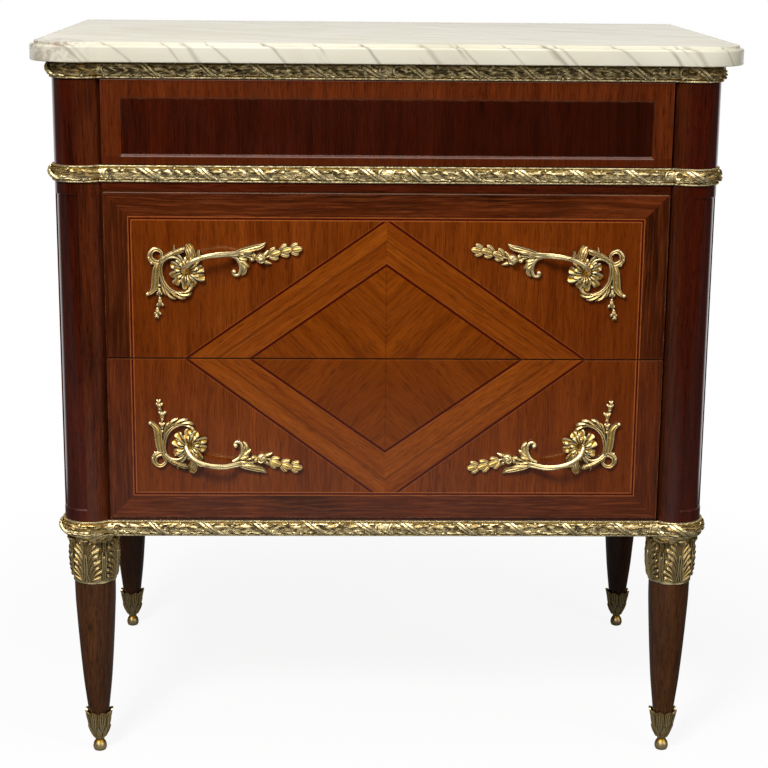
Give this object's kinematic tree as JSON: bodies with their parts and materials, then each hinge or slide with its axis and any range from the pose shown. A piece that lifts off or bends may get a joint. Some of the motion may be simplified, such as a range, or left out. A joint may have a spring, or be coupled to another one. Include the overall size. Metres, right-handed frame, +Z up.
{
  "type": "commode chest",
  "caption": "Low chest of drawers on round tapered legs, with a marble top, round front corner columns, gilt mouldings, leaf capitals, marquetry drawer fronts and scrolled pulls.",
  "frame": {"origin": "centre of the footprint's bounding box, on the floor", "axes": "+Z up, -Y towards the front with the drawers, +X to the right as seen from the front"},
  "size_m": [0.8046, 0.5143, 0.86],
  "materials": {
    "marble": "polished warm white marble with grey-brown veins",
    "mahogany": "dark red-brown mahogany, French polished",
    "frieze_veneer": "red mahogany veneer, French polished",
    "marquetry": "orange-brown veneers with dark stringing, French polished",
    "oak": "plain drawer and carcase wood, waxed",
    "gilt_bronze": "antique gilt bronze, burnished on the high parts",
    "steel": "darkened nuts"
  },
  "bodies": {
    "case": {"back_panel": "oak", "base_rail": "mahogany", "bottom_board": "oak", "capital_front_left": "gilt_bronze", "capital_front_right": "gilt_bronze", "capital_rear_left": "gilt_bronze", "capital_rear_right": "gilt_bronze", "dust_board": "oak", "front_column_left": "mahogany", "front_column_right": "mahogany", "leg_front_left": "mahogany", "leg_front_right": "mahogany", "leg_rear_left": "mahogany", "leg_rear_right": "mahogany", "lower_moulding_front": "gilt_bronze", "lower_moulding_left": "gilt_bronze", "lower_moulding_right": "gilt_bronze", "marble_top": "marble", "middle_board": "oak", "middle_moulding_front": "gilt_bronze", "middle_moulding_left": "gilt_bronze", "middle_moulding_right": "gilt_bronze", "middle_rail": "mahogany", "rear_post_left": "mahogany", "rear_post_right": "mahogany", "sabot_front_left": "gilt_bronze", "sabot_front_right": "gilt_bronze", "sabot_rear_left": "gilt_bronze", "sabot_rear_right": "gilt_bronze", "side_panel_left": "mahogany", "side_panel_right": "mahogany", "top_board": "oak", "top_moulding_front": "gilt_bronze", "top_moulding_left": "gilt_bronze", "top_moulding_right": "gilt_bronze", "top_rail": "mahogany"},
    "frieze_drawer": {"frieze_drawer_back": "oak", "frieze_drawer_bottom": "oak", "frieze_drawer_front": "frieze_veneer", "frieze_drawer_side_left": "oak", "frieze_drawer_side_right": "oak"},
    "upper_drawer": {"upper_drawer_back": "oak", "upper_drawer_bottom": "oak", "upper_drawer_front": "marquetry", "upper_drawer_side_left": "oak", "upper_drawer_side_right": "oak", "upper_pull_left": "gilt_bronze", "upper_pull_nut_left": "steel", "upper_pull_nut_right": "steel", "upper_pull_right": "gilt_bronze"},
    "lower_drawer": {"lower_drawer_back": "oak", "lower_drawer_bottom": "oak", "lower_drawer_front": "marquetry", "lower_drawer_side_left": "oak", "lower_drawer_side_right": "oak", "lower_pull_left": "gilt_bronze", "lower_pull_nut_left": "steel", "lower_pull_nut_right": "steel", "lower_pull_right": "gilt_bronze"}
  },
  "joints": [
    {"name": "frieze_drawer_slide", "type": "slide", "parent": "case", "child": "frieze_drawer", "axis": [0, -1, 0], "range_m": [0, 0.28]},
    {"name": "upper_drawer_slide", "type": "slide", "parent": "case", "child": "upper_drawer", "axis": [0, -1, 0], "range_m": [0, 0.28]},
    {"name": "lower_drawer_slide", "type": "slide", "parent": "case", "child": "lower_drawer", "axis": [0, -1, 0], "range_m": [0, 0.28]}
  ]
}
